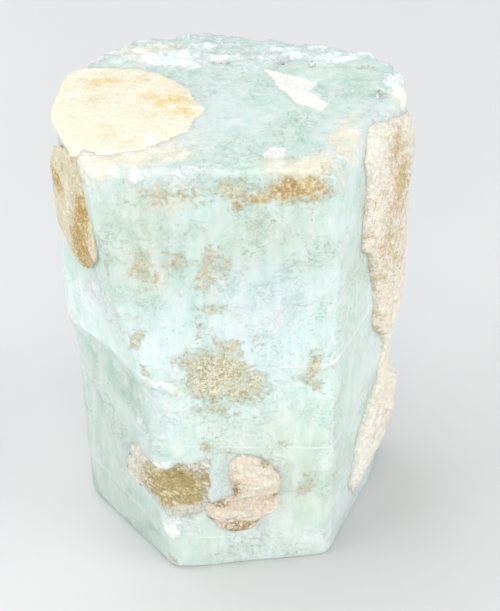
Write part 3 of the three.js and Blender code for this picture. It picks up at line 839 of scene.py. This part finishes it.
LEFT_CRUST_STAINS = {
    "warm": [
        ((-10.0, -6.6, 28.4), (1.9, 3.0, 3.4), 1.3), ((-9.6, -7.4, 31.6), (1.6, 2.2, 3.4), 1.1),
        ((-11.6, -3.4, 31.6), (1.4, 1.8, 2.2), 1.0),
    ],
    "dirty_and_shaded": [
        ((-9.8, -7.2, 29.8), (1.2, 1.8, 3.6), 0.5), ((-10.2, -6.0, 27.2), (1.6, 2.4, 1.6), 0.6),
        ((-11.4, -3.8, 32.6), (1.2, 1.8, 1.8), 0.5),
    ],
    "pale": [
        ((-11.3, -3.8, 29.0), (1.2, 1.8, 1.6), 0.9), ((-10.8, -5.0, 30.6), (1.2, 2.0, 1.0), 0.8),
    ],
}

# On the knob the dark spots along its bottom and in the step across it are painted shade, and the pale
# spots on top of each lobe are painted light.
KNOB_STAINS = {
    "warm": [
        ((0.4, -11, 5.2), (2.6, 2, 1.6), 0.8), ((0.2, -11, 9.2), (0.8, 2, 2.2), 0.6),
    ],
    "dirty_and_shaded": [
        ((0.8, -11, 3.7), (2.8, 2, 1.7), 1.3), ((-2.2, -11, 5.4), (1.1, 2, 1.5), 1.1),
        ((0.0, -11, 8.9), (0.7, 2, 2.4), 0.9), ((2.2, -11, 7.4), (1.8, 2, 0.5), 0.5),
    ],
    "pale": [
        ((1.6, -11, 10.4), (1.8, 2, 1.6), 0.8), ((0.2, -11, 6.4), (2.0, 2, 0.8), 0.7),
    ],
}

# The step across the knob and the fold below it, each as centre, half sizes and depth.
KNOB_DENTS = (((1.8, -11, 7.6), (3.2, 2.4, 0.9), 1.0), ((0.2, -11, 5.0), (2.6, 2, 0.6), 0.5))

# The pit's earth is painted darkest in its upper part, under the rim, and pale at its foot and left side.
PIT_STAINS = {
    "warm": [
        ((-4.4, -10, 8.6), (4.2, 3, 3.0), 1.5),
    ],
    "dirty_and_shaded": [
        ((-3.5, -10, 9.4), (3.0, 3, 2.4), 0.95), ((-5.4, -10, 9.2), (2.2, 3, 1.5), 0.9),
        ((-3.4, -10, 7.4), (1.8, 3, 2.0), 0.9),
    ],
    "pale": [
        ((-5.2, -10, 5.8), (3.0, 3, 1.3), 1.0), ((-7.8, -10, 8.8), (1.3, 3, 2.4), 1.1),
    ],
}


def make_crystal(material):
    """The prism's rows, pushed out along their normals by the relief; the base stays flat."""
    rows = prism_rows()
    stains, looks, tints = crystal_masks(rows)
    moved = rows + normals_of(rows) * crystal_relief(rows, stains, looks, tints)[..., None]
    base_rows = rows[..., 2] < 0.02
    moved[base_rows] = rows[base_rows]
    moved[..., 2] = np.maximum(moved[..., 2], 0)
    masks = {"stains": stains, "looks": looks, "tints": tints}
    return closed_rows("crystal", moved, material, masks)


def outline_reach(outline, angle, blur=5):
    """The distance from the middle to an outline at each angle, straight between its corners and
    averaged over `blur` neighbours each way, which rounds the corners."""
    corners = np.array(outline, float)
    bearings = np.arctan2(corners[:, 1], corners[:, 0])
    order = np.argsort(bearings)
    reach = np.interp(angle, bearings[order], np.hypot(*corners[order].T), period=2 * math.pi)
    return np.mean([np.roll(reach, shift) for shift in range(-blur, blur + 1)], axis=0)


def make_patch(name, material, place, face, outline, seed, profile, sink, stains, lumps, grain, ragged,
               limit=None, bend=0.0, folds=(1, 1, 1), dents=(), around=240, face_rows=56):
    """A closed body that lies on a face of the stone. Its outline is given about `place` along the
    face's two directions and broken up by `ragged` millimetres of noise; `limit` can draw it in. Each
    row is the outline drawn in by a share, standing out by profile(share) on its face and sunk by
    sink * (1 - share^2)^(1/2) underneath. `bend` wraps it round an edge by that much for each
    millimetre across. Lumps and grain are each the height and size of noise on its face, the lumps
    squeezed by `folds`, and a dent is a hollow's centre, half sizes and depth."""
    across, up = (np.array(direction, float) / np.linalg.norm(direction) for direction in face)
    out = np.cross(across, up)
    middle = np.array(place)
    angle = np.linspace(-math.pi, math.pi, around, endpoint=False)
    ring = np.cos(angle)[:, None] * across + np.sin(angle)[:, None] * up
    reach = outline_reach(outline, angle)
    reach = reach + ragged * layered_noise(middle + ring * reach[:, None], 1.5, 4, seed, 0.65)
    if limit:
        reach = limit(middle, ring, reach)
    under = np.linspace(0.04, 1, 14, endpoint=False)[:, None]
    over = (1 - np.linspace(0, 0.985, face_rows) ** 1.25)[:, None]
    shares = np.concatenate([under, over])
    rise = np.concatenate([-0.15 - sink * np.sqrt(1 - under ** 2), profile(over)])
    rise = rise - bend * (np.hypot(np.cos(angle) * reach * shares, 0.5) - 0.5)
    rows = middle + ring[None] * (reach * shares)[..., None] + out * rise[..., None]
    on_face = np.concatenate([under * 0, 0.3 + 0.7 * smooth_step(0, 0.3, 1 - over)]) * np.ones(around)
    big = layered_noise(rows * folds, lumps[1], 3, seed + 3, 0.6)
    small = layered_noise(rows, grain[1], 3, seed + 7, 0.6)
    swell = lumps[0] * big + grain[0] * small
    for centre, half, depth in dents:
        swell = swell - depth * np.clip(blob(warped(rows, 0.4, 1.5, seed + 41), centre, half), 0, 1)
    rows = rows + normals_of(rows) * (swell * on_face)[..., None]
    return closed_rows(name, rows, material, {"wear": stain_and_shade_masks(rows, big, seed, stains)})


def stain_and_shade_masks(rows, swell, seed, stains):
    """How dark, how warm and how pale a piece of matrix is painted: painted shade in hollows and on
    what faces down, a painted highlight on crests, and `stains` gives the spots of each."""
    # Painted shade: darker on what faces down and in hollows. Painted highlight: paler on crests.
    down = smooth_step(0.1, 0.8, -normals_of(rows)[..., 2])
    hollow = smooth_step(0.0, -0.45, swell)
    crest = smooth_step(0.05, 0.5, swell)
    ragged = warped(rows, 0.7, 2.0, seed + 31)
    dirt_and_shade = np.max([0.85 * down, 0.6 * hollow, field_of(ragged, stains["dirty_and_shaded"])], axis=0)
    warm = field_of(ragged, stains["warm"])
    pale = np.maximum(crest, field_of(ragged, stains["pale"]))
    return np.clip(np.stack([dirt_and_shade, warm, pale], axis=-1), 0, 1)


def cap_limit(place, ring, reach):
    """Draws an outline on the top face in to where the prism's side comes up, or 0.3 mm past it. One
    round moves each point along its own direction, so a few are needed."""
    for _ in range(4):
        outer = place + ring * reach[:, None]
        side = prism_radius(np.arctan2(outer[:, 1], outer[:, 0]), np.full(len(reach), HEIGHT - 0.8))
        reach = reach - np.maximum(np.hypot(outer[:, 0], outer[:, 1]) - side - 0.3, 0)
    return reach


def cap_profile(share):
    """Nearly flat, with a low crown and a shoulder that falls away over the last tenth."""
    return 0.06 + 0.36 * (1 - share ** 2) - 0.4 * share ** 20


def pit_profile(share):
    """A shallow heap that falls away towards its rim: 0.25 - 0.4 * share^3."""
    return 0.25 - 0.4 * share ** 3


def dome_profile(height, power):
    """A dome: height * (1 - share^power)^(1/2), its rim a little below the face."""
    def profile(share):
        return height * np.sqrt(np.clip(1 - share ** power, 0, 1)) - 0.06 * share ** 8
    return profile


# The crust on the right edge, which stands on the prism's corner number RIGHT_CORNER: height, reach
# before the edge, reach behind it, thickness.
RIGHT_CORNER = 2
RIGHT_CRUST = np.array([
    (2.4, 6.0, 1.6, 0.2), (3.8, 6.6, 3.6, 0.5), (5.4, 6.2, 4.6, 0.85), (7.3, 5.7, 5.0, 1.1),
    (8.6, 5.3, 4.8, 1.1), (9.6, 4.6, 4.4, 1.0), (10.6, 3.6, 4.0, 0.8), (11.8, 1.8, 3.4, 0.5),
    (14.5, 1.0, 3.0, 0.35), (16.2, 1.7, 3.0, 0.6), (17.8, 3.3, 3.2, 0.85), (21.0, 3.7, 3.6, 0.95),
    (23.6, 4.6, 4.4, 0.9), (26.0, 5.4, 5.0, 0.8), (27.2, 6.6, 5.2, 0.75), (30.0, 6.6, 5.2, 0.75),
    (33.0, 6.7, 5.2, 0.75), (34.8, 6.9, 4.8, 0.65), (35.7, 5.8, 4.4, 0.5), (36.4, 5.0, 4.2, 0.3),
])


def outline_points(height, start, reach, out):
    """The points `reach` round the prism from one of its corners, pushed `out` from its sides. The
    outline is sampled finely by angle and walked by its running length."""
    angle = np.linspace(0, 2 * math.pi, 721)
    made = np.empty(reach.shape + (3,))
    for row, level in enumerate(height):
        radius = prism_radius(angle, np.full(angle.shape, level))
        loop = np.stack([np.cos(angle), np.sin(angle)], axis=-1) * radius[:, None]
        length = np.concatenate([[0], np.cumsum(np.linalg.norm(np.diff(loop, axis=0), axis=1))])
        corner = corners_at(np.array(level))[start]
        begin = np.interp(math.atan2(corner[1], corner[0]) % (2 * math.pi), angle, length)
        where = (begin + reach[row]) % length[-1]
        flat = np.stack([np.interp(where, length, loop[:, axis]) for axis in range(2)], axis=-1)
        step = np.gradient(flat, axis=0)
        normal = np.stack([step[:, 1], -step[:, 0]], axis=-1)
        normal /= np.linalg.norm(normal, axis=1, keepdims=True)
        made[row, :, :2] = flat + normal * out[row][:, None]
        made[row, :, 2] = level
    return made


def drape(points):
    """How far to move what rises past the rim on the right, to lay it back over the worn shoulder: the
    excess height times the cosine of the shoulder's slope inwards, and times its sine upwards."""
    excess = np.maximum(points[..., 2] - top_height(points[..., 0], points[..., 1]), 0)
    facing, slope = math.radians(SHOULDER_FACING), math.atan(SHOULDER_FALL)
    inwards = excess * math.cos(slope)
    lift = excess * (math.sin(slope) - 1)
    return np.stack([-inwards * math.cos(facing), -inwards * math.sin(facing), lift], axis=-1)


def make_right_crust(material, levels=200, across=72):
    """The crust carried up the right edge: at each height a strip runs round the edge, swollen in the
    middle as (1 - s^6)^(1/2), with a flat back just inside the stone. `droop` is how far its top falls
    away backwards for each millimetre."""
    seed, lumps, droop = 401, 0.3, 0.34
    marks, *sizes = RIGHT_CRUST.T
    height = np.linspace(marks[0], marks[-1], levels)
    before, after, thick = (np.interp(height, marks, size) for size in sizes)
    probe = np.stack([height, np.zeros(levels), np.full(levels, seed * 1.7)], axis=-1)
    before = before + 0.5 * layered_noise(probe, 1.8, 3, seed)
    after = after + 0.6 * layered_noise(probe, 1.8, 3, seed + 3)
    ends = np.sqrt(np.clip(1 - np.linspace(-1, 1, levels) ** 24, 0, 1))[:, None]
    s = np.linspace(-1, 1, across)
    reach = np.where(s < 0, before[:, None] * s, after[:, None] * s)
    middle = ((after - before) / 2)[:, None]
    reach = middle + (reach - middle) * (0.8 + 0.2 * ends)
    swell = np.sqrt(np.clip(1 - s ** 6, 0, 1))
    bare = outline_points(height, RIGHT_CORNER, reach, np.zeros_like(reach))
    grains = lumps * layered_noise(bare, 1.1, 4, seed + 7, 0.6)
    grains = grains + 0.16 * layered_noise(bare, 3.5, 2, seed + 11)
    bulk = (swell * ends) * thick[:, None]
    outer = outline_points(height, RIGHT_CORNER, reach, 0.04 + bulk * (1 + 1.5 * grains))
    inner = outline_points(height, RIGHT_CORNER, reach, np.full_like(reach, -0.18))
    fall = droop * np.maximum(reach + 5.0, 0) * smooth_step(30, 36.4, height)[:, None]
    bare[..., 2] -= fall
    shift = drape(bare)
    shift[..., 2] -= fall
    rows = np.concatenate([outer + shift, (inner + shift)[:, -2:0:-1]], axis=1)
    swelling = np.concatenate([grains / lumps, np.zeros((levels, across - 2))], axis=1)
    masks = {"wear": stain_and_shade_masks(rows, swelling, seed, RIGHT_CRUST_STAINS)}
    return closed_rows("right_crust", rows, material, masks)


def make_cap(material):
    """The cream cap in the top left corner, flush with the top face."""
    return make_patch(
        "cap", material, (*CAP_MIDDLE, HEIGHT), (ALONG_X, ALONG_Y), np.subtract(CAP_OUTLINE, CAP_MIDDLE),
        seed=201, profile=cap_profile, sink=1.6, stains=CAP_STAINS, limit=cap_limit,
        lumps=(0.14, 2.4), grain=(0.05, 0.5), ragged=0.5)


def make_left_crust(material):
    """The thin rusty crust high on the left face."""
    return make_patch(
        "left_crust", material, LEFT_CRUST_PLACE, (LEFT_CRUST_ALONG, UPWARDS), LEFT_CRUST_OUTLINE,
        seed=431, profile=dome_profile(0.22, 6), sink=0.4, stains=LEFT_CRUST_STAINS,
        lumps=(0.2, 1.0), grain=(0.08, 0.4), ragged=0.7)


def make_knob(material):
    """The cream-pink knob low on the front face, with a step across it and a fold below."""
    return make_patch(
        "knob", material, KNOB_PLACE, (ALONG_X, UPWARDS), np.subtract(KNOB_OUTLINE, KNOB_MIDDLE),
        seed=461, profile=dome_profile(0.95, 3), sink=1.0, stains=KNOB_STAINS,
        lumps=(0.36, 1.9), grain=(0.08, 0.4), ragged=0.4, folds=(0.7, 0.4, 1.6), dents=KNOB_DENTS)


def make_pit_filling(material):
    """The crumbly brown filling of the etched pit, bent round the front left edge."""
    return make_patch(
        "pit_filling", material, PIT_PLACE, (PIT_ACROSS, UPWARDS), FILLING_SIZE * np.array(PIT_OUTLINE),
        seed=481, profile=pit_profile, sink=0.8, stains=PIT_STAINS, bend=0.36,
        lumps=(0.7, 1.5), grain=(0.14, 0.4), ragged=0.3, folds=(0.6, 0.5, 1.8))


def make_fracture(name, fracture, material, around=150, rings=40):
    """A fracture as a thin closed film just inside the sides: upper and lower skins that follow its
    rippled plane and meet at the rim."""
    angle = np.linspace(0, 2 * math.pi, around, endpoint=False)
    facing = np.stack([np.cos(angle), np.sin(angle)], axis=-1)
    reach = prism_radius(angle, np.full(around, fracture[0])) - FILM_INSET
    shares = np.concatenate([np.linspace(0.02, 1, rings), np.linspace(1, 0.02, rings)])
    side = np.repeat([-FILM_HALF_THICKNESS, FILM_HALF_THICKNESS], rings)
    flat = facing[None] * (reach[None] * shares[:, None])[..., None]
    points = np.concatenate([flat, np.zeros(flat.shape[:-1] + (1,))], axis=-1)
    ripple = 0.12 * layered_noise(points, 1.3, 3, 301)
    points[..., 2] = ripple - fracture_gap(points, fracture) + side[:, None]
    return closed_rows(name, points, material)


# ---------------------------------------------------------------- the stage

# The floor's width in metres.
FLOOR_SIZE = 3.0
# The camera's place in millimetres from the foot of the axis, and how far it looks down, in degrees.
CAMERA_PLACE, CAMERA_PITCH = (1.18, -74.61, 78.09), 39
# The soft boxes: name, place and width in metres, and power in watts.
SOFT_BOXES = (
    ("overhead", (-0.12, 0.10, 0.45), 0.30, 1.05),
    ("front_fill", (0.0, -0.48, 0.20), 0.40, 1.3),
    ("right_fill", (0.45, -0.14, 0.20), 0.30, 1.15),
    ("left_fill", (-0.45, -0.14, 0.20), 0.30, 0.95),
)


def make_floor():
    """A level plane under the stone, at the lowest point of the CAD model."""
    low, half = CAD_BOX[0].z, FLOOR_SIZE / 2
    corners = [(-half, -half, low), (half, -half, low), (half, half, low), (-half, half, low)]
    mesh = bpy.data.meshes.new("floor")
    mesh.from_pydata(corners, [], [(0, 1, 2, 3)])
    mesh.materials.append(floor_finish())
    floor = bpy.data.objects.new("floor", mesh)
    bpy.context.collection.objects.link(floor)


def make_light(name, place, size, power):
    """A square soft box aimed at the middle of the stone; place and size in metres."""
    light = bpy.data.lights.new(name, "AREA")
    light.size, light.energy = size, power
    lamp = bpy.data.objects.new(name, light)
    aim = (STONE_LOW + STONE_HIGH) / 2
    lamp.location = place
    lamp.rotation_euler = (aim - Vector(place)).to_track_quat("-Z", "Y").to_euler()
    bpy.context.collection.objects.link(lamp)


def make_camera():
    """Close above the front of the stone, looking down at CAMERA_PITCH degrees with no roll."""
    camera = bpy.data.cameras.new("camera")
    camera.lens, camera.sensor_width, camera.clip_start = 73.5, 36, 0.002
    holder = bpy.data.objects.new("camera", camera)
    holder.location = AXIS + np.array(CAMERA_PLACE) * MM
    holder.rotation_euler = (math.radians(90 - CAMERA_PITCH), 0, 0)
    bpy.context.collection.objects.link(holder)
    bpy.context.scene.camera = holder


def make_world():
    """Even pale light from all round."""
    world = bpy.data.worlds.new("studio")
    world.use_nodes = True
    background = world.node_tree.nodes["Background"]
    background.inputs["Color"].default_value = (0.93, 0.97, 1.0, 1)
    background.inputs["Strength"].default_value = 0.58
    bpy.context.scene.world = world


# ---------------------------------------------------------------- putting it together

make_camera()
make_world()
make_floor()
for soft_box in SOFT_BOXES:
    make_light(*soft_box)

film = fracture_finish()
matrix = {name: matrix_finish(name, **looks) for name, looks in MATRIX.items()}
pieces = [
    (make_crystal(aquamarine_finish()), "aquamarine", ["aquamarine_crystal"]),
    (make_cap(matrix["cream_feldspar"]), "cream_feldspar", ["feldspar_cap"]),
    (make_right_crust(matrix["pale_feldspar"]), "pale_feldspar", ["feldspar_crust_right"]),
    (make_left_crust(matrix["rusty_feldspar"]), "rusty_feldspar", ["rusty_crust_left"]),
    (make_knob(matrix["pink_feldspar"]), "pink_feldspar", ["feldspar_knob"]),
    (make_pit_filling(matrix["brown_earth"]), "brown_earth", ["pit_filling"]),
    (make_fracture("upper_fracture", UPPER_FRACTURE, film), "aquamarine", []),
    (make_fracture("lower_fracture", LOWER_FRACTURE, film), "aquamarine", []),
]
for piece, slot, nodes in pieces:
    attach(piece, "root")
    if nodes:
        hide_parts(*nodes)

bpy.context.scene.view_settings.view_transform = "Standard"
